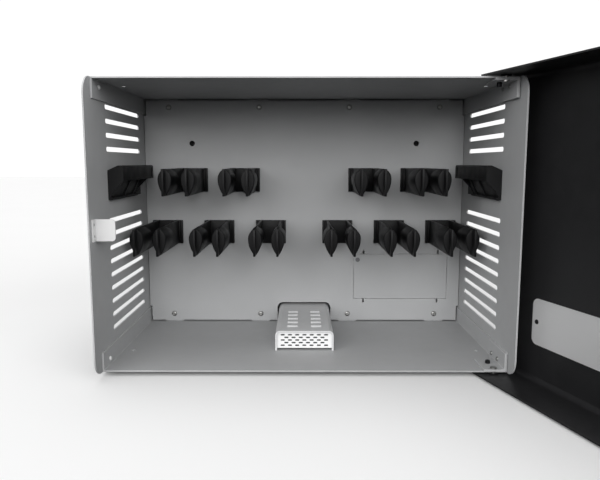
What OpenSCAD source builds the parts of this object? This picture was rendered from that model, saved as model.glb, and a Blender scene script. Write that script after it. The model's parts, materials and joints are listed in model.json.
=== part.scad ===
// Wall or table charging cabinet: a folded steel cabinet with ten cable hooks,
// a USB hub, a rear bay for the power supply, and a lockable swinging door.
// Frame: +X right, +Y to the back, +Z up. The origin is on the surface that the
// feet stand on, at the centre of the side panels' width and depth.

/* [Cabinet] */
// Width over the side panels
cabinet_w = 574; // [572:1:580]
// Depth of a side panel, front to back
cabinet_d = 380; // [376:1:400]
// Height of a side panel
cabinet_h = 406.4; // [404:0.2:412]
// Thickness of the folded steel sheets
sheet_t = 2; // [1.5:0.5:2]
// How far the side panels reach in front of the top and bottom sheets
front_reach = 28; // [26:1:28]
// Radius of the side panels' front corners
corner_r = 25; // [10:1:30]
// Height of the flanges that join the top and bottom sheets to the sides
flange_h = 26; // [24:1:28]
// Height of the rubber feet
foot_h = 6.5; // [6.5:0.5:12]

/* [Equipment panel] */
// Distance from the sheets' front edges to the equipment panel
panel_y = 265; // [264:1:270]
// Distance between neighbouring hooks
hook_pitch = 93.3; // [90:0.1:95]
// Height of the upper hook row above the cabinet floor
hook_row_high = 260.5; // [258:0.5:264]
// Height of the lower hook row above the cabinet floor
hook_row_low = 167; // [164:0.5:170]
// Distance between the two wall bolts
wall_bolt_pitch = 400; // [380:5:410]

/* [Hooks] */
// Width of a hook's back plate
hook_w = 53.7; // [53:0.1:56]
// Height of a hook
hook_h = 42; // [40:0.5:44]
// How far a hook stands out from the panel
hook_reach = 163; // [150:1:165]
// Width of the leaf-shaped head of a prong
hook_head_w = 20; // [18:0.5:21]
// Distance from the hook's centre to each prong
prong_x = 17.9; // [17:0.1:18.5]

/* [Side vents] */
// Length of a vent slot
vent_l = 175; // [150:1:180]
// Height of a vent slot
vent_h = 7; // [5:0.5:8]
// Vertical pitch of the slots
vent_pitch = 20; // [16:0.5:20]

/* [Door] */
// Opening angle of the door as shown
door_open = 108; // [0:1:108]
// Sheet thickness of the door
door_t = 2; // [1.5:0.5:2]
// Inner bend radius of the door's front edges
door_bend_r = 7; // [4:1:10]
// How far the door's flanges overlap the cabinet, behind the sheets' front edges
door_overlap = 25; // [20:1:28]
// Angle of the lock's cam, 90 is locked
cam_turn = 0; // [0:5:90]

/* [Hidden] */
$fn = 48;
fit_gap = 0.1;
half_w = cabinet_w / 2;
inner_x = half_w - sheet_t;
inner_h = cabinet_h - 2 * sheet_t;
sheet_front = front_reach - cabinet_d / 2;
floor_z = foot_h + sheet_t;
back_y = cabinet_d - front_reach - sheet_t;
flange_x = inner_x - sheet_t;
flange_notch = 4.4;

// Fasteners
screw_r = 2.5;
screw_head_r = 4.75;
screw_head_h = 2.6;
small_screw_r = 2;
small_head_r = 3.3;
small_head_h = 2;
rivet_head_r = 3.5;
rivet_head_h = 2.4;

// Holes in the top and bottom sheets
stack_hole_r = 3;
stack_x = 267;
stack_y = [90, 310];
foot_x = 240;
foot_y = [40, 318];
foot_r = 11;
rivet_y = [27, 300];
rivet_z = 8.8;

// Equipment panel
panel_edge_gap = 2.3;
panel_bolt_x = [-240, -80, 80, 240];
panel_bolt_inset = 14;
bracket_tab_w = 33;
wall_bolt_r = 5;
wall_bolt_z = 325;
hub_w = 91.2;
hub_h = 31.5;
hub_front = 90;
hub_back = 300;
louvre_l = 16;
louvre_w = 6;
louvre_h = 2.2;
louvre_t = 0.8;
louvre_slope = 2.6;
louvre_x = 19;
louvre_y = 112;
louvre_pitch = 22.8;
grille_y = hub_front + 3;
grille_t = 1.2;
hub_cut_w = 98;
hub_cut_h = 35.8;
access = [90.5, 42, 171.5, 84];
access_gap = 0.8;
relief_x = [109, 244.5];
relief_l = 7;
latch_at = [98, 115];

// Side panels
handle_y = [55, 229];
handle_z = [237, 280];
handle_depth = 23;
handle_face_z = [267.5, 283];
vents_high = 4;
vents_low = 9;
vent_high_z = 370.4;
vent_low_z = 206.4;
vent_y = 55.5;

// Hinge
pivot = [266, 1];
pivot_r = 3;
pivot_clearance = 0.05;
hinge_plate_t = 3;
hinge_plate = [251.5, -3.5, 31.5, 45.5];
hinge_leg_l = 65;
hinge_screw_y = [27, 54];
hinge_screw_z = 8.4;
hinge_bolt_at = [265, 24];
pin_head_r = 4.6;
washer_r = 7;

// Door
door_face = -36;
door_gap = 2;
door_low = -sheet_t - door_gap - door_t;
door_high = inner_h + sheet_t + door_gap + door_t;
plate_x = 234;
plate_z = [47, 110];
plate_t = 1.5;
plate_screw_x = [-225, -75, 75, 225];
lock_at = [-238, 200];
lock_bore_r = 6.55;
lock_plug_r = 6.5;
lock_body_r = 9.4;
cam_y = -4.2;
cam_t = 2;
cam_l = 30;
cam_w = 16;
strike_y = -7.5;
strike_z = [185, 215];

// Rear bay
inlet_at = [200, 60];
switch_at = [200, 104];
supply = [-218, 291, 0];
supply_size = [160, 56, 112];
supply_foot = 10;
supply_foot_t = 1.5;
lead_r = 3.5;
lead_z = 25;
lead_y = supply[1] + supply_size[1] / 2;

// ---- Shared shapes -------------------------------------------------------

// Cabin coordinates: X from the middle, Y from the sheets' front edges,
// Z from the upper face of the bottom sheet
module cabin() {
    translate([0, sheet_front, floor_z]) children();
}

// A shape drawn for the bottom of the cabin, turned over to the top
module at_top() {
    translate([0, 0, inner_h]) mirror([0, 0, 1]) children();
}

// Extrudes a Y-Z outline along X, from x to x + t
module along_x(x, t) {
    translate([x, 0, 0]) rotate([90, 0, 90]) linear_extrude(t) children();
}

// Extrudes an X-Z outline along Y, from y to y + t
module along_y(y, t) {
    translate([0, y + t, 0]) rotate([90, 0, 0]) linear_extrude(t) children();
}

module rounded_rect(low, size, r) {
    translate(low) {
        translate([r, 0]) square([size[0] - 2 * r, size[1]]);
        translate([0, r]) square([size[0], size[1] - 2 * r]);
        for (x = [r, size[0] - r], y = [r, size[1] - r])
            translate([x, y]) circle(r);
    }
}

// A slot with round ends, along the first axis, centred on y
module slot(x, y, l, w) {
    rounded_rect([x, y - w / 2], [l, w], w / 2 - 0.01);
}

module hole_x(x, t, y, z, r) {
    translate([x, y, z]) rotate([0, 90, 0]) cylinder(h = t, r = r);
}

module hole_y(y, t, x, z, r) {
    translate([x, y, z]) rotate([-90, 0, 0]) cylinder(h = t, r = r);
}

module hole_z(z, t, x, y, r) {
    translate([x, y, z]) cylinder(h = t, r = r);
}

// Button-head socket screw: head above z = 0, shank below
module button_screw(r, head_r, head_h, l) {
    difference() {
        union() {
            rotate_extrude()
                polygon([[0, 0], [head_r, 0], [head_r, head_h * 0.25],
                    [head_r * 0.84, head_h * 0.7], [head_r * 0.5, head_h], [0, head_h]]);
            translate([0, 0, -l]) cylinder(h = l + 0.1, r = r);
        }
        translate([0, 0, head_h * 0.35]) cylinder(h = head_h, r = r * 0.62, $fn = 6);
    }
}

// Dome rivet: head above z = 0, shank below
module rivet(r, head_r, head_h, l) {
    rotate_extrude()
        polygon([[0, -l], [r, -l], [r, 0], [head_r, 0], [head_r * 0.9, head_h * 0.5],
            [head_r * 0.55, head_h], [0, head_h]]);
}

module facing_left() { rotate([0, -90, 0]) children(); }
module facing_right() { rotate([0, 90, 0]) children(); }
module facing_front() { rotate([90, 0, 0]) children(); }
module facing_back() { rotate([-90, 0, 0]) children(); }

// ---- Cabinet shell -------------------------------------------------------

module side_outline() {
    rear_r = 4;
    y0 = -front_reach;
    y1 = y0 + cabinet_d;
    z0 = -sheet_t;
    z1 = z0 + cabinet_h;
    translate([y0 + corner_r, z0]) square([cabinet_d - corner_r - rear_r, cabinet_h]);
    translate([y0, z0 + corner_r]) square([corner_r, cabinet_h - 2 * corner_r]);
    translate([y1 - rear_r, z0 + rear_r]) square([rear_r, cabinet_h - 2 * rear_r]);
    for (z = [z0 + corner_r, z1 - corner_r]) translate([y0 + corner_r, z]) circle(corner_r, $fn = 64);
    for (z = [z0 + rear_r, z1 - rear_r]) translate([y1 - rear_r, z]) circle(rear_r);
}

module vent_slots() {
    for (i = [0:vents_high - 1]) slot(vent_y, vent_high_z - i * vent_pitch, vent_l, vent_h);
    for (i = [0:vents_low - 1]) slot(vent_y, vent_low_z - i * vent_pitch, vent_l, vent_h);
}

module handle_cutout() {
    g = 2 * fit_gap;
    rounded_rect([handle_y[0] - g, handle_z[0] - g],
        [handle_y[1] - handle_y[0] + 2 * g, handle_z[1] - handle_z[0] + 2 * g], 3);
}

module side_panel(side) {
    x = side < 0 ? -half_w : inner_x;
    ys = side < 0 ? rivet_y : [rivet_y[1]];
    difference() {
        along_x(x, sheet_t) difference() {
            side_outline();
            vent_slots();
            handle_cutout();
        }
        for (y = ys, z = [rivet_z, inner_h - rivet_z])
            hole_x(x - 1, sheet_t + 2, y, z, small_screw_r + fit_gap);
        if (side > 0)
            for (y = hinge_screw_y, z = [hinge_screw_z, inner_h - hinge_screw_z])
                hole_x(x - 1, sheet_t + 2, y, z, small_screw_r + fit_gap);
        if (side < 0)
            for (z = strike_rivet_z())
                hole_x(x - 1, sheet_t + 2, strike_y - 6, z, small_screw_r + fit_gap);
    }
}

function strike_rivet_z() = [strike_z[0] + 7, strike_z[1] - 7];

module side_panel_left() { color("#b9bcbe") cabin() side_panel(-1); }
module side_panel_right() { color("#b9bcbe") cabin() side_panel(1); }

// A folded sheet with two side flanges and a rear flange, drawn as the bottom one
module folded_sheet() {
    rear_flange_h = 16;
    difference() {
        union() {
            translate([-inner_x, 0, -sheet_t]) cube([2 * inner_x, back_y, sheet_t]);
            for (x = [-inner_x, flange_x]) translate([x, 0, -0.01]) cube([sheet_t, back_y, flange_h]);
            translate([-flange_x, back_y - sheet_t, -0.01]) cube([2 * flange_x, sheet_t, rear_flange_h]);
        }
        for (x = [-stack_x, stack_x], y = stack_y) hole_z(-sheet_t - 1, sheet_t + 2, x, y, stack_hole_r);
        hole_z(-sheet_t - 1, sheet_t + 2, hinge_bolt_at[0], hinge_bolt_at[1], small_screw_r + fit_gap);
        hole_z(-sheet_t - 1, sheet_t + 1, pivot[0], pivot[1], pivot_r + 0.3);
        for (y = rivet_y) hole_x(-inner_x - 1, sheet_t + 2, y, rivet_z, small_screw_r + fit_gap);
        for (y = concat(hinge_screw_y, [rivet_y[1]]))
            hole_x(flange_x - 1, sheet_t + 2, y, y == rivet_y[1] ? rivet_z : hinge_screw_z,
                small_screw_r + fit_gap);
        for (x = back_screw_x())
            hole_y(back_y - sheet_t - 1, sheet_t + 2, x, 8, small_screw_r + fit_gap);
    }
}

function back_screw_x() = [-256, -128, 0, 128, 256];

module top_sheet() { color("#c4c6c8") cabin() at_top() folded_sheet(); }
module bottom_sheet() { color("#c4c6c8") cabin() folded_sheet(); }

module back_cover() {
    vents = 5;
    back_vent_l = 100;
    back_vent_pitch = 14;
    supply_middle = supply[0] + supply_size[0] / 2;
    color("#b4b7b9") cabin() difference() {
        along_y(back_y, sheet_t) difference() {
            translate([-inner_x + fit_gap, -sheet_t]) square([2 * (inner_x - fit_gap), cabinet_h]);
            for (i = [0:vents - 1])
                slot(supply_middle - back_vent_l / 2, 30 + i * back_vent_pitch, back_vent_l, 5);
            translate([inlet_at[0] - 13.8, inlet_at[1] - 10.1]) square([27.6, 20.2]);
            translate([switch_at[0] - 13.8, switch_at[1] - 10.1]) square([27.6, 20.2]);
        }
        for (x = back_screw_x(), z = [8, inner_h - 8])
            hole_y(back_y - 1, sheet_t + 2, x, z, small_screw_r + fit_gap);
        for (x = [-wall_bolt_pitch / 2, wall_bolt_pitch / 2])
            hole_y(back_y - 1, sheet_t + 2, x, wall_bolt_z, wall_bolt_r);
        for (x = [-20, 20])
            hole_y(back_y - 1, sheet_t + 2, inlet_at[0] + x, inlet_at[1], 1.6);
    }
}

module back_screws() {
    color("#3a3b3d") cabin() for (x = back_screw_x(), z = [8, inner_h - 8])
        translate([x, back_y + sheet_t, z]) facing_back()
            button_screw(small_screw_r, small_head_r, small_head_h, 2 * sheet_t + 0.8);
}

// Round-headed rivets that join the side flanges to the side panels
module flange_rivets() {
    color("#c9cbcd") cabin() for (z = [rivet_z, inner_h - rivet_z]) {
        for (y = rivet_y) translate([-flange_x, y, z]) facing_right()
            rivet(small_screw_r, rivet_head_r, rivet_head_h, 2 * sheet_t - 0.1);
        translate([flange_x, rivet_y[1], z]) facing_left()
            rivet(small_screw_r, rivet_head_r, rivet_head_h, 2 * sheet_t - 0.1);
    }
}

// ---- Equipment panel -----------------------------------------------------

function upper_hook_x() = [for (i = [-2, -1, 1, 2]) sign(i) * (106.3 + (abs(i) - 1) * hook_pitch)];
function lower_hook_x() = [for (i = [-3, -2, -1, 1, 2, 3]) sign(i) * (60 + (abs(i) - 1) * hook_pitch)];
function hook_places() = concat([for (x = upper_hook_x()) [x, hook_row_high]],
    [for (x = lower_hook_x()) [x, hook_row_low]]);
function hook_screw_dz() = [-12, 12];

module panel_outline() {
    corner_h = flange_h + 3 - panel_edge_gap;
    difference() {
        translate([-inner_x + 1, panel_edge_gap]) square([2 * inner_x - 2, inner_h - 2 * panel_edge_gap]);
        for (x = [-inner_x, inner_x - flange_notch])
            for (z = [panel_edge_gap, inner_h - panel_edge_gap - corner_h])
                translate([x, z - 0.01]) square([flange_notch, corner_h + 0.02]);
        translate([-hub_cut_w / 2, -1]) square([hub_cut_w, hub_cut_h - 11 + 1]);
        translate([-hub_cut_w / 2 + 11, 0]) square([hub_cut_w - 22, hub_cut_h]);
        for (x = [-hub_cut_w / 2 + 11, hub_cut_w / 2 - 11])
            translate([x, hub_cut_h - 11]) circle(11);
        translate([access[0], access[1]]) square([access[2], access[3]]);
        for (x = relief_x, z = [access[1] - relief_l, access[1] + access[3] - 0.01])
            translate([x - 1.5, z]) square([3, relief_l + 0.01]);
    }
}

module equipment_panel() {
    lip_x = [relief_x[0] + 1.5, relief_x[1] - 1.5];
    color("#b6b9bb") cabin() {
        difference() {
            along_y(panel_y, sheet_t) panel_outline();
            for (x = panel_bolt_x, z = [panel_bolt_inset, inner_h - panel_bolt_inset])
                hole_y(panel_y - 1, sheet_t + 2, x, z, screw_r + fit_gap);
            for (x = [-wall_bolt_pitch / 2, wall_bolt_pitch / 2])
                hole_y(panel_y - 1, sheet_t + 2, x, wall_bolt_z, wall_bolt_r);
            for (p = hook_places(), dz = hook_screw_dz())
                hole_y(panel_y - 1, sheet_t + 2, p[0], p[1] + dz, small_screw_r + fit_gap);
        }
        for (z = [access[1] - sheet_t, access[1] + access[3]])
            translate([lip_x[0], panel_y, z]) cube([lip_x[1] - lip_x[0], 12, sheet_t]);
    }
}

// Angle brackets behind the panel, on the top and bottom sheets
module panel_bracket() {
    leg_d = 22;
    leg_h = 25;
    difference() {
        union() {
            translate([-bracket_tab_w / 2, panel_y + sheet_t, 0]) cube([bracket_tab_w, sheet_t, leg_h]);
            translate([-bracket_tab_w / 2, panel_y + sheet_t, 0]) cube([bracket_tab_w, leg_d, sheet_t]);
        }
        hole_y(panel_y, 10, 0, panel_bolt_inset, screw_r + fit_gap);
    }
}

module panel_brackets() {
    color("#9a9da0") cabin() for (x = panel_bolt_x) translate([x, 0, 0]) {
        panel_bracket();
        at_top() panel_bracket();
    }
}

module panel_screws() {
    color("#8f9294") cabin() for (x = panel_bolt_x, z = [panel_bolt_inset, inner_h - panel_bolt_inset])
        translate([x, panel_y, z]) facing_front()
            button_screw(screw_r, screw_head_r, screw_head_h, 9);
}

module access_cover() {
    tongue = [14, 1.6, 12];
    g = access_gap;
    tongue_x = access[0] + access[2] - 8;
    color("#babdbf") cabin() difference() {
        union() {
            translate([access[0] + g, panel_y, access[1] + g])
                cube([access[2] - 2 * g, sheet_t, access[3] - 2 * g]);
            // Two tongues that hook behind the panel
            for (z = [access[1] + 14, access[1] + access[3] - 26])
                translate([tongue_x, panel_y + sheet_t, z]) cube(tongue);
        }
        hole_y(panel_y - 1, 4, latch_at[0], latch_at[1], 2.55);
    }
}

// Quarter-turn latch: slotted head in front, tongue behind the panel
module access_latch() {
    color("#55585a") cabin() translate([latch_at[0], panel_y, latch_at[1]]) {
        difference() {
            facing_front() cylinder(h = 1.2, r = 4);
            translate([-0.8, -1.3, -2.9]) cube([1.6, 0.8, 5.8]);
        }
        facing_back() cylinder(h = sheet_t + 0.3, r = 2.5);
        translate([-12, sheet_t + 0.2, -2.5]) cube([15, 1.5, 5]);
    }
}

module wall_spacers() {
    color("#8c8f92") cabin() for (x = [-wall_bolt_pitch / 2, wall_bolt_pitch / 2])
        translate([x, panel_y + sheet_t, wall_bolt_z]) facing_back() difference() {
            cylinder(h = back_y - panel_y - sheet_t, r = 8);
            translate([0, 0, -1]) cylinder(h = back_y - panel_y, r = wall_bolt_r + 0.2);
        }
}

// ---- Cable hooks ---------------------------------------------------------

// Lens-shaped outline: two arcs that meet at the top and bottom
module leaf(w, h) {
    r = (h * h / 4 + w * w / 4) / w;
    intersection() {
        translate([r - w / 2, 0]) circle(r, $fn = 96);
        translate([w / 2 - r, 0]) circle(r, $fn = 96);
    }
}

// One hook on the panel's face, centred on the origin, prongs towards -Y
module cable_hook() {
    plate_t = 3;
    fin_t = 3.4;
    head_front = hook_reach - 15;
    head_back = 85;
    difference() {
        union() {
            translate([-hook_w / 2, -plate_t, -hook_h / 2]) cube([hook_w, plate_t, hook_h]);
            for (x = [-prong_x, prong_x]) {
                translate([x - fin_t / 2, -hook_reach, -hook_h / 2]) cube([fin_t, hook_reach, hook_h]);
                translate([x, 0, 0]) along_y(-head_front, head_front - head_back) leaf(hook_head_w, hook_h);
            }
        }
        for (dz = hook_screw_dz()) hole_y(-plate_t - 1, plate_t + 2, 0, dz, small_screw_r + fit_gap);
    }
}

module placed_hook(p) {
    color("#202122") cabin() translate([p[0], panel_y, p[1]]) cable_hook();
}

module hook_upper(i) { placed_hook([upper_hook_x()[i - 1], hook_row_high]); }
module hook_lower(i) { placed_hook([lower_hook_x()[i - 1], hook_row_low]); }

module hook_screws() {
    color("#3a3b3d") cabin() for (p = hook_places(), dz = hook_screw_dz())
        translate([p[0], panel_y + sheet_t, p[1] + dz]) facing_back()
            button_screw(small_screw_r, small_head_r, small_head_h, 4.5);
}

// ---- Recessed handles ----------------------------------------------------

// Profiles across the right wall: first axis is the distance in from the wall
module handle_box_profile() {
    polygon([[0, 262], [0, handle_z[1]], [15.5, 287], [handle_depth - 2, 287], [handle_depth, 285],
        [handle_depth, 264.5], [14, 264.5], [11, 262]]);
}

module handle_scoop_profile() {
    polygon([[0, handle_z[0]], [0, 263], [13, 263], [9.5, 254], [5, 245.5], [3, 241.4], [6.5, 240],
        [6.5, handle_z[0]]]);
}

module handle_gusset_profile() {
    polygon([[0, handle_z[0]], [0, 270], [handle_depth, 270], [handle_depth, 264.5],
        [8.4, 249.5], [2, handle_z[0]]]);
}

module handle_rib_profile() {
    polygon([[2, 238], [2, 264.6], [16.5, 264.6], [12, 255], [7.6, 246], [5.5, 239]]);
}

// The grip's opening, above the floor of the box
module handle_pocket_profile() {
    polygon([[-6, 265], [12.5, 265], [20.5, 267], [20.5, 284.3], [16, 284.3], [0, 277.3], [-6, 277.3]]);
}

// The throat below it, inside the scoop
module handle_throat_profile() {
    polygon([[-6, 240], [0, 240.5], [2.6, 245], [7, 254], [10.6, 261.5], [12.5, 264], [12.5, 266],
        [-6, 266]]);
}

module along_y_from_wall(y, l) {
    translate([inner_x, y, 0]) mirror([1, 0, 0]) rotate([90, 0, 0]) translate([0, 0, -l])
        linear_extrude(l) children();
}

module handle() {
    y0 = handle_y[0];
    l = handle_y[1] - handle_y[0];
    scoop_l = 131;
    gusset_t = 3;
    rib_y = [60.5, 107.5];
    rib_t = 2.5;
    bezel = 5;
    face_border = 9;
    face_sink = 1.1;
    difference() {
        union() {
            along_y_from_wall(y0, l) handle_box_profile();
            along_y_from_wall(y0, scoop_l) handle_scoop_profile();
            for (y = [0, scoop_l - gusset_t])
                along_y_from_wall(y0 + y, gusset_t) handle_gusset_profile();
            for (y = rib_y) along_y_from_wall(y0 + y, rib_t) handle_rib_profile();
            along_x(inner_x - 0.01, sheet_t + 0.02)
                translate([y0, handle_z[0]]) square([l, handle_z[1] - handle_z[0]]);
            along_x(half_w, 2.5)
                rounded_rect([y0 - bezel, handle_z[0] - bezel],
                    [l + 2 * bezel, handle_z[1] - handle_z[0] + 2 * bezel], 8);
        }
        along_y_from_wall(y0 + gusset_t, l - 2 * gusset_t) handle_pocket_profile();
        along_y_from_wall(y0 + gusset_t, scoop_l - 2 * gusset_t) handle_throat_profile();
        // Sunk field on the face towards the cabin
        translate([inner_x - handle_depth - 1, y0 + face_border, handle_face_z[0]])
            cube([1 + face_sink, l - 2 * face_border, handle_face_z[1] - handle_face_z[0]]);
    }
}

module handle_left() { color("#1d1e1f") cabin() mirror([1, 0, 0]) handle(); }
module handle_right() { color("#1d1e1f") cabin() handle(); }

// ---- Strike and hinge hardware -------------------------------------------

module strike_bracket() {
    leg_x = 28;
    wall_leg = 13;
    tip_r = 5;
    h = strike_z[1] - strike_z[0];
    color("#e3e4e5") cabin() difference() {
        union() {
            along_y(strike_y, sheet_t) union() {
                translate([-inner_x, strike_z[0]]) square([leg_x - tip_r, h]);
                rounded_rect([-inner_x + 10, strike_z[0]], [leg_x - 10, h], tip_r);
            }
            translate([-inner_x, strike_y - wall_leg + sheet_t, strike_z[0]]) cube([sheet_t, wall_leg, h]);
        }
        for (z = strike_rivet_z())
            hole_x(-inner_x - 1, sheet_t + 2, strike_y - 6, z, small_screw_r + fit_gap);
    }
}

module strike_rivets() {
    color("#c9cbcd") cabin() for (z = strike_rivet_z())
        translate([-half_w, strike_y - 6, z]) facing_left()
            rivet(small_screw_r, rivet_head_r, rivet_head_h, 2 * sheet_t);
}

module hinge_bracket() {
    leg_x = flange_x - hinge_plate_t;
    difference() {
        union() {
            translate([hinge_plate[0], hinge_plate[1], 0])
                cube([flange_x - hinge_plate[0], hinge_plate[3], hinge_plate_t]);
            translate([leg_x, hinge_plate[1], 0])
                cube([hinge_plate_t, hinge_leg_l - hinge_plate[1], flange_h]);
        }
        hole_z(-1, hinge_plate_t + 2, pivot[0], pivot[1], pivot_r + 0.02);
        hole_z(-1, hinge_plate_t + 2, hinge_bolt_at[0], hinge_bolt_at[1], small_screw_r + fit_gap);
        for (y = hinge_screw_y)
            hole_x(leg_x - 1, hinge_plate_t + 2, y, hinge_screw_z, small_screw_r + fit_gap);
    }
}

module hinge_bracket_top() { color("#b9bbbd") cabin() at_top() hinge_bracket(); }
module hinge_bracket_bottom() { color("#b9bbbd") cabin() hinge_bracket(); }

module hinge_screws() {
    color("#c9cbcd") cabin() for (y = hinge_screw_y, z = [hinge_screw_z, inner_h - hinge_screw_z])
        translate([flange_x - hinge_plate_t, y, z]) facing_left()
            button_screw(small_screw_r, small_head_r, small_head_h, hinge_plate_t + 2 * sheet_t - 0.3);
}

// Black cap screws that hold the hinge plates to the sheets
module hinge_bolt(spacer) {
    head_r = 3.5;
    head_h = 4.5;
    translate([hinge_bolt_at[0], hinge_bolt_at[1], 0]) {
        translate([0, 0, hinge_plate_t]) difference() {
            cylinder(h = spacer + head_h, r = head_r);
            translate([0, 0, spacer + head_h - 2]) cylinder(h = 3, r = 1.7, $fn = 6);
        }
        translate([0, 0, -sheet_t]) cylinder(h = hinge_plate_t + sheet_t + 0.1, r = small_screw_r);
    }
}

module hinge_bolts() {
    color("#161718") cabin() {
        hinge_bolt(0);
        at_top() hinge_bolt(1.5);
    }
}

// Pin headed over at both ends: through the hinge plate, past the sheet and through the door's flange
module pivot_pin() {
    upper_head = 2.2;
    lower_head = 1.4;
    flange_gap = 0.2;
    foot = door_low - flange_gap - lower_head;
    translate([pivot[0], pivot[1], 0]) {
        translate([0, 0, foot]) cylinder(h = lower_head, r = pin_head_r);
        translate([0, 0, foot + 0.5]) cylinder(h = hinge_plate_t - foot, r = pivot_r);
        translate([0, 0, hinge_plate_t]) cylinder(h = upper_head, r = pin_head_r);
    }
}

// Nylon washers between the sheets and the door's flanges
module hinge_washer() {
    translate([pivot[0], pivot[1], -sheet_t - door_gap + fit_gap]) difference() {
        cylinder(h = door_gap - 2 * fit_gap, r = washer_r);
        translate([0, 0, -1]) cylinder(h = door_gap + 2, r = pivot_r + 0.3);
    }
}

module hinge_washers() {
    color("#2b2c2e") cabin() {
        hinge_washer();
        at_top() hinge_washer();
    }
}

module pivot_pin_top() { color("#d0d2d4") cabin() at_top() pivot_pin(); }
module pivot_pin_bottom() { color("#d0d2d4") cabin() pivot_pin(); }

// ---- USB hub -------------------------------------------------------------

module hub_profile(grow) {
    r = 8 - grow;
    w = hub_w - 2 * grow;
    h = hub_h - grow;
    translate([-w / 2, 0]) square([w, h - r]);
    translate([-w / 2 + r, 0]) square([w - 2 * r, h]);
    for (x = [-w / 2 + r, w / 2 - r]) translate([x, h - r]) circle(r);
}

// Places on the hub's top, each at the front foot of a louvre
module at_louvres() {
    for (i = [0:4], side = [-1, 1])
        translate([side * louvre_x, louvre_y + i * louvre_pitch, hub_h]) children();
}

// Along X, from a side view of depth against height
module across_louvre(l) {
    translate([-l / 2, 0, 0]) rotate([90, 0, 90]) linear_extrude(l) children();
}

// Pressed hood with a sloped front, open at the back
module louvre_hood() {
    across_louvre(louvre_l)
        polygon([[0, -0.5], [0, 0], [louvre_slope, louvre_h], [louvre_w, louvre_h], [louvre_w, -0.5]]);
}

// The slot under the hood and the air path out at its back
module louvre_opening() {
    top = louvre_h - louvre_t;
    across_louvre(louvre_l - 2 * louvre_t)
        polygon([[louvre_t, -3], [louvre_t, 0], [louvre_slope + louvre_t / 2, top],
            [louvre_w + 1, top], [louvre_w + 1, 0.1], [louvre_w, 0.1], [louvre_w, -3]]);
}

module hub_cover() {
    wall = 1.2;
    lip = 3;
    lip_t = 1.4;
    color("#dcdedf") cabin() difference() {
        union() {
            along_y(hub_front, hub_back - hub_front) difference() {
                hub_profile(0);
                translate([0, -0.01]) hub_profile(wall);
            }
            along_y(hub_front, lip_t) difference() {
                hub_profile(0);
                translate([0, -0.01]) hub_profile(lip);
            }
            at_louvres() louvre_hood();
        }
        at_louvres() louvre_opening();
    }
}

// Slotted sheet behind the cover's front lip, standing clear of the floor
module hub_grille() {
    pitch = 11.3;
    row_pitch = 4.2;
    first_row = 7.6;
    slot_l = 6.4;
    slot_w = 2.5;
    foot_z = 3.4;
    foot_d = 6;
    color("#e8e9ea") cabin() {
        along_y(grille_y, grille_t) difference() {
            hub_profile(1.3);
            translate([-hub_w / 2, -1]) square([hub_w, foot_z + 1]);
            for (row = [0:4]) {
                n = row % 2 == 0 ? 7 : 6;
                for (i = [0:n - 1])
                    slot((i - (n - 1) / 2) * pitch - slot_l / 2, first_row + row * row_pitch, slot_l, slot_w);
            }
        }
        translate([-hub_w / 2 + 4, grille_y, foot_z]) cube([hub_w - 8, foot_d, grille_t]);
    }
}

// Black foam behind the slots
module hub_filter() {
    filter_w = 84;
    filter_t = 3;
    color("#1a1b1c") cabin()
        translate([-filter_w / 2, grille_y + grille_t + 0.2, 5]) cube([filter_w, filter_t, 24]);
}

module hub_board() {
    color("#1f5c3a") cabin() {
        translate([-42, 100, 6]) cube([84, hub_back - 101, 1.6]);
        for (y = [120, 160, 200]) translate([-9, y, 7.59]) cube([18, 18, 2]);
        for (x = [-38, 38], y = [106, 270]) translate([x, y, 0]) cylinder(h = 6.01, r = 3);
    }
}

module hub_ports() {
    port_w = 13.1;
    port_h = 6.2;
    port_d = 15;
    wall = 0.3;
    color("#a9acae") cabin() for (i = [-2:2], z = [7.6, 7.6 + port_h])
        translate([i * 16 - port_w / 2, hub_back - port_d, z]) difference() {
            cube([port_w, port_d, port_h]);
            translate([wall, 1, wall]) cube([port_w - 2 * wall, port_d, port_h - 2 * wall]);
        }
}

// ---- Rear bay ------------------------------------------------------------

function supply_screw_places() = [for (x = [-supply_foot / 2, supply_size[0] + supply_foot / 2],
    y = [12, supply_size[1] - 12]) [x, y]];

module power_supply() {
    wall = 1.2;
    vents = 9;
    vent_pitch_x = 14;
    inside = supply_size - [2 * wall, 2 * wall, wall + supply_foot_t];
    color("#8e9194") cabin() translate(supply) difference() {
        union() {
            cube(supply_size);
            translate([-supply_foot, 0, 0])
                cube([supply_size[0] + 2 * supply_foot, supply_size[1], supply_foot_t]);
        }
        translate([wall, wall, supply_foot_t]) cube(inside);
        for (i = [0:vents - 1])
            translate([22 + i * vent_pitch_x, 12, supply_size[2] - 3]) cube([4, supply_size[1] - 24, 6]);
        hole_x(supply_size[0] - 3, 6, lead_y - supply[1], lead_z, lead_r + 0.3);
        for (p = supply_screw_places()) hole_z(-1, 4, p[0], p[1], small_screw_r + fit_gap);
    }
}

module supply_screws() {
    color("#3a3b3d") cabin() translate(supply) for (p = supply_screw_places())
        translate([p[0], p[1], supply_foot_t])
            button_screw(small_screw_r, small_head_r, small_head_h, supply_foot_t);
}

// Low-voltage lead from the supply into the back of the hub, held by both ends
module supply_lead() {
    bend = 12;
    end_x = -8;
    start_x = supply[0] + supply_size[0] - 4;
    end_y = hub_back - 10;
    color("#222325") cabin() {
        hole_x(start_x, end_x - bend - start_x, lead_y, lead_z, lead_r);
        translate([end_x - bend, lead_y - bend, lead_z]) rotate_extrude(angle = 90)
            translate([bend, 0]) circle(lead_r);
        hole_y(end_y, lead_y - bend - end_y, end_x, lead_z, lead_r);
    }
}

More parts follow.
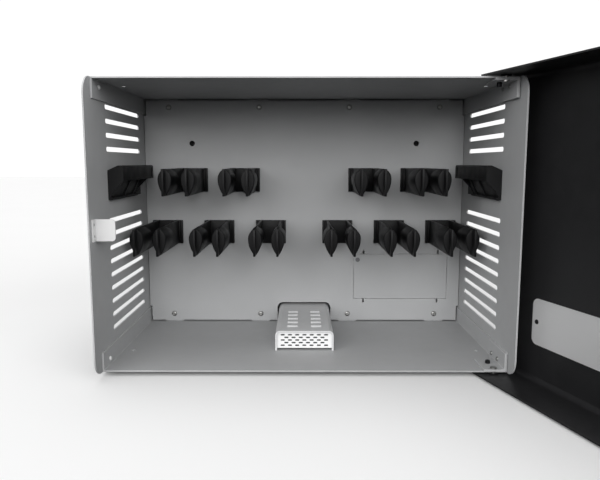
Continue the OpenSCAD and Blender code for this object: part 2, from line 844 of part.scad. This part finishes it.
module power_inlet() {
    color("#1b1c1d") cabin() translate([inlet_at[0], back_y, inlet_at[1]]) difference() {
        union() {
            translate([-13.6, -18, -9.9]) cube([27.2, 20.1, 19.8]);
            along_y(sheet_t, 3) rounded_rect([-25, -11.5], [50, 23], 4);
        }
        translate([-12.2, -13, -8.2]) cube([24.4, 20, 16.4]);
        for (x = [-20, 20]) hole_y(0, 8, x, 0, 1.7);
    }
}

module inlet_contacts() {
    blade = [2, 18, 4];
    color("#c8a24a") cabin() translate([inlet_at[0], back_y - 21, inlet_at[1]])
        for (p = [[-7, -4], [7, -4], [0, 2]])
            translate([p[0] - blade[0] / 2, 0, p[1] - blade[2] / 2 + 1]) cube(blade);
}

module inlet_screws() {
    color("#8f9294") cabin() for (x = [-20, 20])
        translate([inlet_at[0] + x, back_y + sheet_t + 3, inlet_at[1]]) facing_back()
            button_screw(1.5, 2.8, 1.6, 6);
}

module switch_frame() {
    color("#1b1c1d") cabin() translate([switch_at[0], back_y, switch_at[1]]) difference() {
        union() {
            translate([-13.6, -16, -9.9]) cube([27.2, 18.1, 19.8]);
            along_y(sheet_t, 2) rounded_rect([-15.5, -12], [31, 24], 2);
        }
        translate([-11, -10, -7.5]) cube([22, 20, 15]);
    }
}

// Rocker drawn tipped to its off side, about an X axis through its pivot
module switch_rocker() {
    rocker_w = 21.4;
    pivot_depth = -4;
    color("#2a2b2c") cabin() translate([switch_at[0], back_y + pivot_depth, switch_at[1]])
        rotate([7, 0, 0]) along_x(-rocker_w / 2, rocker_w) difference() {
            circle(9.2);
            translate([-10, -10]) square([9, 20]);
            translate([-10, 6.6]) square([20, 8]);
            translate([-10, -14.6]) square([20, 8]);
            translate([13.2, 0]) circle(7);
        }
}

// Stick-on feet with a chamfered lower edge and a shallow hollow
module rubber_feet() {
    chamfer = 1.5;
    hollow_r = 5;
    hollow_h = 2;
    color("#191a1b") cabin() for (x = [-foot_x, foot_x], y = foot_y)
        translate([x, y, -sheet_t - foot_h]) rotate_extrude()
            polygon([[0, hollow_h], [hollow_r, hollow_h], [hollow_r, 0], [foot_r - chamfer, 0],
                [foot_r, chamfer], [foot_r, foot_h], [0, foot_h]]);
}

// ---- Door ----------------------------------------------------------------

// Turns the closed door about its pivot to the angle shown
module door_pose() {
    cabin() translate([pivot[0], pivot[1], 0]) rotate([0, 0, door_open])
        translate([-pivot[0], -pivot[1], 0]) children();
}

module door_outline(shrink) {
    r = door_bend_r + door_t - shrink;
    y0 = door_face - door_t + shrink;
    y1 = door_overlap + (shrink > 0 ? 5 : 0);
    z0 = door_low + shrink;
    z1 = door_high - shrink;
    translate([y0 + r, z0]) square([y1 - y0 - r, z1 - z0]);
    translate([y0, z0 + r]) square([r, z1 - z0 - 2 * r]);
    for (z = [z0 + r, z1 - r]) translate([y0 + r, z]) circle(r);
}

module door_shell() {
    color("#1e1f21") door_pose() difference() {
        along_x(-half_w, cabinet_w) difference() {
            door_outline(0);
            door_outline(door_t);
        }
        hole_y(door_face - door_t - 1, door_t + 2, lock_at[0], lock_at[1], lock_body_r + fit_gap);
        for (x = plate_screw_x) hole_y(door_face - 1.4, 3, x, (plate_z[0] + plate_z[1]) / 2, 1.6);
        hole_z(door_low - 1, door_high - door_low + 2, pivot[0], pivot[1], pivot_r + pivot_clearance);
    }
}

module door_plate() {
    color("#c9cbcc") door_pose() difference() {
        along_y(door_face, plate_t)
            rounded_rect([-plate_x, plate_z[0]], [2 * plate_x, plate_z[1] - plate_z[0]], 9);
        for (x = plate_screw_x) hole_y(door_face - 1, 4, x, (plate_z[0] + plate_z[1]) / 2, 1.6);
    }
}

module door_plate_screws() {
    color("#161718") door_pose() for (x = plate_screw_x)
        translate([x, door_face + plate_t, (plate_z[0] + plate_z[1]) / 2]) facing_back()
            button_screw(1.5, 3.2, 1.9, plate_t + 1.2);
}

module lock_barrel() {
    color("#b9bbbd") door_pose() difference() {
        union() {
            hole_y(door_face - door_t - 2.5, 2.5, lock_at[0], lock_at[1], 12);
            hole_y(door_face - door_t - 0.1, cam_y - 0.3 - door_face + door_t + 0.1, lock_at[0], lock_at[1],
                lock_body_r);
        }
        hole_y(door_face - 8, 40, lock_at[0], lock_at[1], lock_bore_r);
    }
}

module lock_nut() {
    color("#c9cbcd") door_pose() translate([lock_at[0], door_face, lock_at[1]]) facing_back() difference() {
        cylinder(h = 5, r = 14, $fn = 6);
        translate([0, 0, -1]) cylinder(h = 7, r = lock_body_r + fit_gap);
    }
}

// Turns the lock's moving pieces about the barrel's axis
module cam_pose() {
    door_pose() translate([lock_at[0], 0, lock_at[1]]) rotate([0, cam_turn, 0]) children();
}

module lock_plug() {
    front = door_face - door_t - 3;
    color("#d4d6d8") cam_pose() difference() {
        hole_y(front, cam_y - front, 0, 0, lock_plug_r);
        translate([-0.6, front - 1, -3.5]) cube([1.2, 12, 7]);
        hole_y(cam_y - 8, 10, 0, 0, 1.6);
    }
}

module lock_cam() {
    color("#9a9da0") cam_pose() difference() {
        union() {
            hole_y(cam_y, cam_t, 0, 0, cam_w / 2);
            translate([-cam_w / 2, cam_y, -cam_l]) cube([cam_w, cam_t, cam_l]);
        }
        hole_y(cam_y - 1, cam_t + 2, 0, 0, 1.6);
    }
}

module cam_screw() {
    color("#8f9294") cam_pose() translate([0, cam_y + cam_t, 0]) facing_back()
        button_screw(1.5, 4, 2.2, cam_t + 6);
}

// ---- Nodes ---------------------------------------------------------------

side_panel_left();
side_panel_right();
top_sheet();
bottom_sheet();
back_cover();
equipment_panel();
panel_brackets();
panel_screws();
access_cover();
access_latch();
wall_spacers();
hook_upper(1);  // hook_upper_1
hook_upper(2);  // hook_upper_2
hook_upper(3);  // hook_upper_3
hook_upper(4);  // hook_upper_4
hook_lower(1);  // hook_lower_1
hook_lower(2);  // hook_lower_2
hook_lower(3);  // hook_lower_3
hook_lower(4);  // hook_lower_4
hook_lower(5);  // hook_lower_5
hook_lower(6);  // hook_lower_6
hook_screws();
handle_left();
handle_right();
strike_bracket();
strike_rivets();
hinge_bracket_top();
hinge_bracket_bottom();
hinge_screws();
hinge_bolts();
pivot_pin_top();
pivot_pin_bottom();
hinge_washers();
flange_rivets();
hub_cover();
hub_grille();
hub_filter();
hub_board();
hub_ports();
power_supply();
supply_screws();
supply_lead();
power_inlet();
inlet_contacts();
inlet_screws();
switch_frame();
switch_rocker();
rubber_feet();
back_screws();
door_shell();
door_plate();
door_plate_screws();
lock_barrel();
lock_nut();
lock_plug();
lock_cam();
cam_screw();
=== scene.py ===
"""The looks of the charging cabinet: finishes, rounded edges, moulded hooks and handles, studio."""
import json
import math

import bmesh
import bpy
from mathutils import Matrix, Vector

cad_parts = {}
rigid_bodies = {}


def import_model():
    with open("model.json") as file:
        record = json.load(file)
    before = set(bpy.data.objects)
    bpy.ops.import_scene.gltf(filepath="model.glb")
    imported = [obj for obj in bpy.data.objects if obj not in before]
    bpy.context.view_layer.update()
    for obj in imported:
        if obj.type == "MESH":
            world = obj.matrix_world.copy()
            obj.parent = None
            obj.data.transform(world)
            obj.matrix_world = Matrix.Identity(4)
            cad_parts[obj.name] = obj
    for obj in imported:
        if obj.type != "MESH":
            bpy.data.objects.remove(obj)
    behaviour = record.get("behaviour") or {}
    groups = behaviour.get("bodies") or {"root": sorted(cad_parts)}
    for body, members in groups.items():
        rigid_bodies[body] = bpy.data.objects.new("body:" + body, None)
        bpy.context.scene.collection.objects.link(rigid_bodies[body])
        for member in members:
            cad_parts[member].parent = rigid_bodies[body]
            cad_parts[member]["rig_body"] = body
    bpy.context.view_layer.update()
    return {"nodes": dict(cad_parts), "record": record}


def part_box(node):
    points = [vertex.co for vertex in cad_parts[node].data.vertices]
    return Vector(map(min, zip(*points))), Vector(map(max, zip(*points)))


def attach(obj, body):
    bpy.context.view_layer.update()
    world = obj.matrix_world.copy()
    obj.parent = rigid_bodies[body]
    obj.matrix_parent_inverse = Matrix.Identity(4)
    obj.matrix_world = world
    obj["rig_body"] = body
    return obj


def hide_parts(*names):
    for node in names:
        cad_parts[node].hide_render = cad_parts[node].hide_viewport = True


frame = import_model()
MM = 0.001
SHEET_EDGE = 0.35 * MM
HANDLE_EDGE = 0.7 * MM
FASTENER_EDGE = 0.25 * MM
SHARP_ANGLE = math.radians(38)


# ---- Node helpers ----------------------------------------------------------

class Shader:
    """A material's node tree, with one Principled shader and short ways to wire textures to it."""

    def __init__(self, name, color, roughness, metallic=0.0):
        self.material = bpy.data.materials.new(name)
        self.material.use_nodes = True
        self.tree = self.material.node_tree
        self.shader = self.tree.nodes["Principled BSDF"]
        self.shader.inputs["Base Color"].default_value = (*color, 1.0)
        self.shader.inputs["Roughness"].default_value = roughness
        self.shader.inputs["Metallic"].default_value = metallic
        self.coordinates = self.tree.nodes.new("ShaderNodeTexCoord").outputs["Object"]

    def stretched(self, x, y, z):
        """Object coordinates, scaled along each axis."""
        mapping = self.tree.nodes.new("ShaderNodeMapping")
        mapping.inputs["Scale"].default_value = (x, y, z)
        self.tree.links.new(self.coordinates, mapping.inputs["Vector"])
        return mapping.outputs["Vector"]

    def noise(self, scale, detail=2.0, roughness=0.5, vector=None):
        noise = self.tree.nodes.new("ShaderNodeTexNoise")
        noise.inputs["Scale"].default_value = scale
        noise.inputs["Detail"].default_value = detail
        noise.inputs["Roughness"].default_value = roughness
        self.tree.links.new(vector or self.coordinates, noise.inputs["Vector"])
        return noise.outputs["Fac"]

    def spread(self, value, low, high):
        """Maps a noise's middle range to low..high."""
        ranged = self.tree.nodes.new("ShaderNodeMapRange")
        ranged.inputs["From Min"].default_value = 0.3
        ranged.inputs["From Max"].default_value = 0.7
        ranged.inputs["To Min"].default_value = low
        ranged.inputs["To Max"].default_value = high
        self.tree.links.new(value, ranged.inputs["Value"])
        return ranged.outputs["Result"]

    def vary_color(self, value, color_a, color_b):
        ramp = self.tree.nodes.new("ShaderNodeValToRGB")
        ramp.color_ramp.elements[0].position = 0.3
        ramp.color_ramp.elements[0].color = (*color_a, 1.0)
        ramp.color_ramp.elements[1].position = 0.7
        ramp.color_ramp.elements[1].color = (*color_b, 1.0)
        self.tree.links.new(value, ramp.inputs["Fac"])
        self.tree.links.new(ramp.outputs["Color"], self.shader.inputs["Base Color"])

    def edge_mask(self, radius, breakup):
        """1 on edges, 0 on flat faces, broken up by a noise."""
        bevel = self.tree.nodes.new("ShaderNodeBevel")
        bevel.samples = 4
        bevel.inputs["Radius"].default_value = radius
        geometry = self.tree.nodes.new("ShaderNodeNewGeometry")
        alike = self.tree.nodes.new("ShaderNodeVectorMath")
        alike.operation = "DOT_PRODUCT"
        self.tree.links.new(bevel.outputs["Normal"], alike.inputs[0])
        self.tree.links.new(geometry.outputs["True Normal"], alike.inputs[1])
        edge = self.tree.nodes.new("ShaderNodeMapRange")
        edge.inputs["From Min"].default_value = 0.985
        edge.inputs["From Max"].default_value = 0.88
        self.tree.links.new(alike.outputs["Value"], edge.inputs["Value"])
        return self.product(edge.outputs["Result"], breakup)

    def product(self, a, b):
        multiply = self.tree.nodes.new("ShaderNodeMath")
        multiply.operation = "MULTIPLY"
        self.tree.links.new(a, multiply.inputs[0])
        self.tree.links.new(b, multiply.inputs[1])
        return multiply.outputs["Value"]

    def tint(self, mask, color):
        """Lays a colour over the base colour where the mask is 1."""
        mix = self.tree.nodes.new("ShaderNodeMix")
        mix.data_type = "RGBA"
        base = self.shader.inputs["Base Color"].links[0].from_socket
        self.tree.links.new(mask, mix.inputs["Factor"])
        self.tree.links.new(base, mix.inputs["A"])
        mix.inputs["B"].default_value = (*color, 1.0)
        self.tree.links.new(mix.outputs["Result"], self.shader.inputs["Base Color"])

    def vary_roughness(self, value, low, high):
        self.tree.links.new(self.spread(value, low, high), self.shader.inputs["Roughness"])

    def bump(self, *layers):
        """Each layer is (height, strength, depth in metres). They add up."""
        normal = None
        for height, strength, depth in layers:
            bump = self.tree.nodes.new("ShaderNodeBump")
            bump.inputs["Strength"].default_value = strength
            bump.inputs["Distance"].default_value = depth
            self.tree.links.new(height, bump.inputs["Height"])
            if normal is not None:
                self.tree.links.new(normal, bump.inputs["Normal"])
            normal = bump.outputs["Normal"]
        self.tree.links.new(normal, self.shader.inputs["Normal"])


def scaled(color, factor):
    return tuple(channel * factor for channel in color)


# ---- Materials -------------------------------------------------------------

def powder_coat(name, color, roughness, grain=900.0, grain_strength=0.16, edge_highlight=None,
                edge_highlight_width=1.2 * MM):
    """Sprayed and baked paint: a fine orange-peel grain, faint clouds and, when a colour is given,
    a painted highlight that lightens the edges.
    """
    s = Shader(name, color, roughness)
    clouds = s.noise(9.0, 3.0)
    s.vary_color(clouds, scaled(color, 0.96), scaled(color, 1.03))
    # Painted highlight: the edges are tinted towards a paler colour to stand in for light caught on
    # the rounded edges.
    if edge_highlight is not None:
        s.tint(s.edge_mask(edge_highlight_width, s.spread(s.noise(35.0, 3.0), 0.5, 1.0)), edge_highlight)
    s.vary_roughness(s.noise(60.0, 2.0), roughness - 0.04, roughness + 0.05)
    s.bump((s.noise(grain, 2.0), grain_strength, 0.00006), (s.noise(170.0, 1.0), 0.05, 0.0001))
    return s.material


def moulded_plastic(name, color, roughness):
    """Spark-eroded mould texture with slight flow marks and rubbed patches."""
    s = Shader(name, color, roughness)
    s.shader.inputs["Specular IOR Level"].default_value = 0.2
    flow = s.noise(28.0, 3.0, 0.6, s.stretched(1.0, 0.4, 1.0))
    s.vary_color(flow, scaled(color, 0.85), scaled(color, 1.25))
    s.vary_roughness(s.noise(45.0, 4.0), roughness - 0.06, roughness + 0.07)
    s.bump((s.noise(1500.0, 2.0), 0.22, 0.00005))
    return s.material


def brushed_metal(name, color, roughness, along):
    """Fine lines along one axis: along is (x, y, z), small where the lines run."""
    s = Shader(name, color, roughness, 1.0)
    lines = s.noise(700.0, 3.0, 0.6, s.stretched(*along))
    s.vary_color(lines, scaled(color, 0.9), scaled(color, 1.06))
    s.vary_roughness(lines, roughness - 0.08, roughness + 0.1)
    s.bump((lines, 0.12, 0.00003))
    return s.material


def plated_metal(name, color, roughness):
    """Zinc or nickel plating: crystalline patches and a little pitting."""
    s = Shader(name, color, roughness, 1.0)
    patches = s.noise(220.0, 4.0, 0.65)
    s.vary_color(patches, scaled(color, 0.82), scaled(color, 1.08))
    s.vary_roughness(s.noise(400.0, 2.0), roughness - 0.08, roughness + 0.12)
    s.bump((patches, 0.15, 0.00004))
    return s.material


def satin_aluminium(name, color, roughness):
    s = Shader(name, color, roughness, 0.55)
    grain = s.noise(900.0, 2.0, 0.5, s.stretched(0.12, 0.12, 1.0))
    s.vary_color(s.noise(5.0, 2.0), scaled(color, 0.97), scaled(color, 1.03))
    s.vary_roughness(grain, roughness - 0.05, roughness + 0.06)
    s.bump((grain, 0.1, 0.00003))
    return s.material


def rubber(name, color):
    s = Shader(name, color, 0.75)
    s.vary_color(s.noise(120.0, 3.0), scaled(color, 0.8), scaled(color, 1.3))
    s.bump((s.noise(800.0, 3.0), 0.3, 0.00008))
    return s.material


def circuit_board(name, color):
    """Solder mask over straight copper tracks."""
    s = Shader(name, color, 0.35)
    tracks = s.noise(240.0, 0.0, 0.5, s.stretched(1.0, 0.12, 1.0))
    s.vary_color(tracks, scaled(color, 0.75), scaled(color, 1.35))
    s.bump((tracks, 0.3, 0.00004))
    return s.material


MATERIALS = {
    # The paler colours given with cabinet_paint, door_paint and hub_shell are painted highlights on
    # their edges.
    "cabinet_paint": powder_coat("silver_powder_coat", (0.43, 0.435, 0.44), 0.5,
                                 edge_highlight=(0.78, 0.785, 0.79)),
    "strike_paint": powder_coat("pale_powder_coat", (0.74, 0.74, 0.74), 0.42, 1100.0),
    "door_paint": powder_coat("black_powder_coat", (0.012, 0.012, 0.013), 0.42, 800.0, 0.22,
                              (0.05, 0.05, 0.052)),
    "black_plastic": moulded_plastic("black_moulding", (0.0065, 0.0065, 0.007), 0.46),
    "rocker_plastic": moulded_plastic("gloss_black_moulding", (0.018, 0.018, 0.018), 0.24),
    "plated_steel": plated_metal("zinc_plating", (0.38, 0.38, 0.37), 0.34),
    "bright_metal": plated_metal("nickel_plating", (0.72, 0.71, 0.68), 0.22),
    "dark_metal": plated_metal("dark_zinc", (0.2, 0.2, 0.21), 0.36),
    "lock_chrome": brushed_metal("chrome_turned", (0.75, 0.75, 0.76), 0.16, (1.0, 1.0, 1.0)),
    "black_screw": plated_metal("black_oxide", (0.03, 0.03, 0.032), 0.4),
    "hub_shell": powder_coat("hub_paint", (0.6, 0.605, 0.61), 0.4, 1300.0, 0.1,
                             (0.94, 0.94, 0.94), 2.2 * MM),
    "hub_face": powder_coat("hub_face_paint", (0.9, 0.9, 0.9), 0.35, 1500.0, 0.08),
    "circuit_board": circuit_board("solder_mask", (0.02, 0.16, 0.07)),
    "brass": plated_metal("brass_blades", (0.72, 0.5, 0.2), 0.28),
    "lead_rubber": rubber("lead_jacket", (0.02, 0.02, 0.02)),
    "foot_rubber": rubber("foot_rubber_black", (0.022, 0.022, 0.022)),
    "plate_aluminium": satin_aluminium("satin_plate", (0.86, 0.862, 0.865), 0.42),
}
SLOT_OF = {part["node"]: part["material_slot"] for part in frame["record"]["subparts"]}


def dress(piece, slot):
    """Gives a piece its material slot's material."""
    piece.data.materials.clear()
    piece.data.materials.append(MATERIALS[slot])


# ---- Pieces ----------------------------------------------------------------

def body_of(node):
    return frame["nodes"][node]["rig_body"]


def show_instead(piece, node):
    """The piece takes over from a CAD node: its body, its material slot and its place."""
    slot = SLOT_OF[node]
    dress(piece, slot)
    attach(piece, body_of(node))
    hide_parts(node)


def piece_from(bm, name):
    mesh = bpy.data.meshes.new(name)
    bmesh.ops.recalc_face_normals(bm, faces=bm.faces)
    bm.to_mesh(mesh)
    bm.free()
    piece = bpy.data.objects.new(name, mesh)
    bpy.context.scene.collection.objects.link(piece)
    return piece


def round_edges(piece, width, segments=2):
    """Rounds every edge sharper than 30 degrees and evens out the shading."""
    bevel = piece.modifiers.new("rounded_edges", "BEVEL")
    bevel.width = width
    bevel.segments = segments
    bevel.limit_method = "ANGLE"
    bevel.angle_limit = math.radians(30)
    for polygon in piece.data.polygons:
        polygon.use_smooth = True
    even = piece.modifiers.new("flat_faces_stay_flat", "WEIGHTED_NORMAL")
    even.mode = "FACE_AREA"
    even.weight = 100
    even.keep_sharp = False


def finish_node(node, width, segments=2):
    """Shows a CAD node with its edges rounded, as the real piece's are."""
    bm = bmesh.new()
    bm.from_mesh(frame["nodes"][node].data)
    bmesh.ops.remove_doubles(bm, verts=bm.verts, dist=1e-6)
    bmesh.ops.dissolve_limit(bm, angle_limit=math.radians(0.5), verts=bm.verts, edges=bm.edges)
    piece = piece_from(bm, node + "_finished")
    round_edges(piece, width, segments)
    show_instead(piece, node)
    return piece


for node, cad_object in frame["nodes"].items():
    dress(cad_object, SLOT_OF[node])

SHEET_NODES = [
    "hub_cover", "hub_grille", "side_panel_left", "side_panel_right", "top_sheet", "bottom_sheet",
    "back_cover", "equipment_panel", "access_cover", "panel_brackets", "strike_bracket",
    "hinge_bracket_top", "hinge_bracket_bottom", "door_shell", "door_plate",
]
for node in SHEET_NODES:
    finish_node(node, SHEET_EDGE)


# ---- Cable hooks -----------------------------------------------------------

def add_loop(bm, points):
    return [bm.verts.new(point) for point in points]


def join_loops(bm, loops, caps=True):
    """Skins between closed loops of the same number of points."""
    for lower, upper in zip(loops, loops[1:]):
        for i in range(len(lower)):
            j = (i + 1) % len(lower)
            bm.faces.new((lower[i], lower[j], upper[j], upper[i]))
    if caps:
        bm.faces.new(list(reversed(loops[0])))
        bm.faces.new(loops[-1])


def rounded_rectangle(x0, x1, y0, y1, radius, steps=3):
    """Points round a rectangle with rounded corners, counter-clockwise."""
    radius = min(radius, (x1 - x0) * 0.49, (y1 - y0) * 0.49)
    points = []
    corners = [(x1 - radius, y0 + radius, -90), (x1 - radius, y1 - radius, 0),
               (x0 + radius, y1 - radius, 90), (x0 + radius, y0 + radius, 180)]
    for cx, cy, start in corners:
        for step in range(steps + 1):
            angle = math.radians(start + 90 * step / steps)
            points.append((cx + radius * math.cos(angle), cy + radius * math.sin(angle)))
    return points


def add_slab(bm, x, y, z, edge):
    """A box between pairs of limits, with rounded upright edges and softened ends."""
    loops = []
    for height, inset in [(z[0], edge), (z[0] + 0.3 * edge, 0.3 * edge), (z[0] + edge, 0.0),
                          (z[1] - edge, 0.0), (z[1] - 0.3 * edge, 0.3 * edge), (z[1], edge)]:
        outline = rounded_rectangle(x[0] + inset, x[1] - inset, y[0] + inset, y[1] - inset, edge)
        loops.append(add_loop(bm, [(px, py, height) for px, py in outline]))
    join_loops(bm, loops)


HOOK_REACH = 163 * MM
HOOK_HEAD_FRONT = 148 * MM
HOOK_HEAD_BACK = 85 * MM
HOOK_HALF_HEIGHT = 21 * MM
HOOK_HEAD_HALF = 10.9 * MM
HOOK_FIN_HALF = 1.8 * MM
HOOK_PLATE = 3 * MM
HOOK_PAD = 6 * MM
HOOK_PAD_WIDTH = 4.5 * MM
HOOK_PRONG = 17.9 * MM
HOOK_PLATE_HALF = 26.85 * MM
HOOK_EDGE = 0.7 * MM
HEAD_BULGE = 22 * MM
HEAD_EDGE = 2.2 * MM
HEAD_LEVELS = 26
HEAD_WIDEST = 0.2


def leaf_half_width(t):
    """Half width of the head at height t, from -1 at the bottom to 1 at the top."""
    if t > HEAD_WIDEST:
        fullness = 1 - ((t - HEAD_WIDEST) / (1 - HEAD_WIDEST)) ** 2.4
    else:
        fullness = 1 - ((HEAD_WIDEST - t) / (1 + HEAD_WIDEST)) ** 2.0
    return HOOK_FIN_HALF + (HOOK_HEAD_HALF - HOOK_FIN_HALF) * fullness


def add_head(bm, x):
    """The leaf-shaped head: pointed at the top and bottom, and bulging to the back."""
    loops = []
    for level in range(HEAD_LEVELS + 1):
        t = -math.cos(math.pi * level / HEAD_LEVELS)
        half = leaf_half_width(t)
        back = -HOOK_HEAD_BACK - HEAD_BULGE * abs(t) ** 2.2
        edge = min(HEAD_EDGE, half * 0.8)
        outline = rounded_rectangle(x - half, x + half, -HOOK_HEAD_FRONT, back, edge, 4)
        loops.append(add_loop(bm, [(px, py, t * HOOK_HALF_HEIGHT) for px, py in outline]))
    join_loops(bm, loops)


def cable_hook(node):
    """One moulding: a plate with raised ends and two prongs, each a fin with a leaf-shaped head."""
    low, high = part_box(node)
    bm = bmesh.new()
    z = (-HOOK_HALF_HEIGHT, HOOK_HALF_HEIGHT)
    inside_plate = -0.5 * HOOK_PLATE
    add_slab(bm, (-HOOK_PLATE_HALF, HOOK_PLATE_HALF), (-HOOK_PLATE, 0), z, HOOK_EDGE)
    for x in (-HOOK_PLATE_HALF, HOOK_PLATE_HALF - HOOK_PAD_WIDTH):
        add_slab(bm, (x, x + HOOK_PAD_WIDTH), (-HOOK_PAD, inside_plate), z, HOOK_EDGE)
    for x in (-HOOK_PRONG, HOOK_PRONG):
        fin = (x - HOOK_FIN_HALF, x + HOOK_FIN_HALF)
        add_slab(bm, fin, (-HOOK_REACH, inside_plate), z, HOOK_EDGE)
        add_head(bm, x)
    centre = (low + high) / 2
    bmesh.ops.translate(bm, verts=bm.verts, vec=Vector((centre.x, high.y, centre.z)))
    piece = piece_from(bm, node + "_moulding")
    for polygon in piece.data.polygons:
        polygon.use_smooth = True
    piece.data.set_sharp_from_angle(angle=SHARP_ANGLE)
    show_instead(piece, node)


for node in frame["nodes"]:
    if node.startswith("hook_") and node != "hook_screws":
        cable_hook(node)


# ---- Handles ---------------------------------------------------------------

for node in ("handle_left", "handle_right"):
    finish_node(node, HANDLE_EDGE, 3)


# ---- Fasteners, pins, lock and fittings --------------------------------------

SMALL_NODES = [
    "panel_screws", "hinge_screws", "hinge_bolts", "flange_rivets", "strike_rivets",
    "pivot_pin_top", "pivot_pin_bottom", "door_plate_screws", "back_screws", "access_latch",
    "lock_barrel", "lock_nut", "lock_plug", "lock_cam", "cam_screw", "inlet_screws",
    "power_inlet", "switch_frame", "switch_rocker", "rubber_feet", "hinge_washers",
]
for node in SMALL_NODES:
    finish_node(node, FASTENER_EDGE)


# ---- Studio ----------------------------------------------------------------

def studio_floor():
    """Pale paper. It takes shadows, and throws no light back onto the object."""
    size = 12.0
    mesh = bpy.data.meshes.new("studio_floor")
    corners = [(-size, -size, 0), (size, -size, 0), (size, size, 0), (-size, size, 0)]
    mesh.from_pydata(corners, [], [(0, 1, 2, 3)])
    floor = bpy.data.objects.new("studio_floor", mesh)
    bpy.context.scene.collection.objects.link(floor)
    s = Shader("studio_paper", (0.9, 0.9, 0.9), 0.9)
    s.vary_color(s.noise(3.0, 2.0), (0.895, 0.895, 0.895), (0.905, 0.905, 0.905))
    mesh.materials.append(s.material)
    floor.visible_diffuse = False
    floor.visible_glossy = False


def ramp_along(tree, value, low, high, reverse=False):
    """A soft step from 0 to 1 between two values of a direction's component."""
    ranged = tree.nodes.new("ShaderNodeMapRange")
    ranged.interpolation_type = "SMOOTHSTEP"
    ranged.inputs["From Min"].default_value = low
    ranged.inputs["From Max"].default_value = high
    ranged.inputs["To Min"].default_value = 1.0 if reverse else 0.0
    ranged.inputs["To Max"].default_value = 0.0 if reverse else 1.0
    tree.links.new(value, ranged.inputs["Value"])
    return ranged.outputs["Result"]


def times(tree, a, b):
    product = tree.nodes.new("ShaderNodeMath")
    product.operation = "MULTIPLY"
    tree.links.new(a, product.inputs[0])
    tree.links.new(b, product.inputs[1])
    return product.outputs["Value"]


def times_plus(tree, value, factor, base):
    step = tree.nodes.new("ShaderNodeMath")
    step.operation = "MULTIPLY_ADD"
    tree.links.new(value, step.inputs[0])
    step.inputs[1].default_value = factor
    if isinstance(base, float):
        step.inputs[2].default_value = base
    else:
        tree.links.new(base, step.inputs[2])
    return step.outputs["Value"]


def studio_light():
    """A wide soft light high in front, a low fill and a lamp overhead, on a faint dome.

    The camera sees plain white behind the object.
    """
    world = bpy.data.worlds.new("studio")
    bpy.context.scene.world = world
    world.use_nodes = True
    tree = world.node_tree
    looking = tree.nodes.new("ShaderNodeTexCoord").outputs["Generated"]
    direction = tree.nodes.new("ShaderNodeSeparateXYZ")
    tree.links.new(looking, direction.inputs["Vector"])
    height = direction.outputs["Z"]
    depth = direction.outputs["Y"]
    dome = ramp_along(tree, height, -0.06, 0.06)
    overhead = ramp_along(tree, height, 0.82, 0.98)
    softbox = times(tree, times(tree, ramp_along(tree, height, 0.02, 0.32),
                                ramp_along(tree, height, 0.4, 0.8, reverse=True)),
                    ramp_along(tree, depth, -0.7, 0.1, reverse=True))
    fill = times(tree, times(tree, ramp_along(tree, height, -0.04, 0.04),
                             ramp_along(tree, height, 0.12, 0.35, reverse=True)),
                 ramp_along(tree, depth, -0.95, -0.3, reverse=True))
    light = times_plus(tree, dome, 0.3, 0.02)
    light = times_plus(tree, overhead, 1.9, light)
    light = times_plus(tree, softbox, 3.1, light)
    light = times_plus(tree, fill, 1.9, light)
    seen = tree.nodes.new("ShaderNodeLightPath").outputs["Is Camera Ray"]
    strength = tree.nodes.new("ShaderNodeMix")
    tree.links.new(seen, strength.inputs[0])
    tree.links.new(light, strength.inputs[2])
    strength.inputs[3].default_value = 1.05
    background = tree.nodes["Background"]
    background.inputs["Color"].default_value = (1, 1, 1, 1)
    tree.links.new(strength.outputs[0], background.inputs["Strength"])
    bpy.context.scene.view_settings.view_transform = "Standard"


def camera():
    data = bpy.data.cameras.new("camera")
    data.lens = 35.406
    data.sensor_width = 36.0
    view = bpy.data.objects.new("camera", data)
    view.location = (-0.0044, -0.9636, 0.2991)
    view.rotation_euler = (math.radians(90 - 7.44), 0, math.radians(0.16))
    bpy.context.scene.collection.objects.link(view)
    bpy.context.scene.camera = view


studio_floor()
studio_light()
camera()
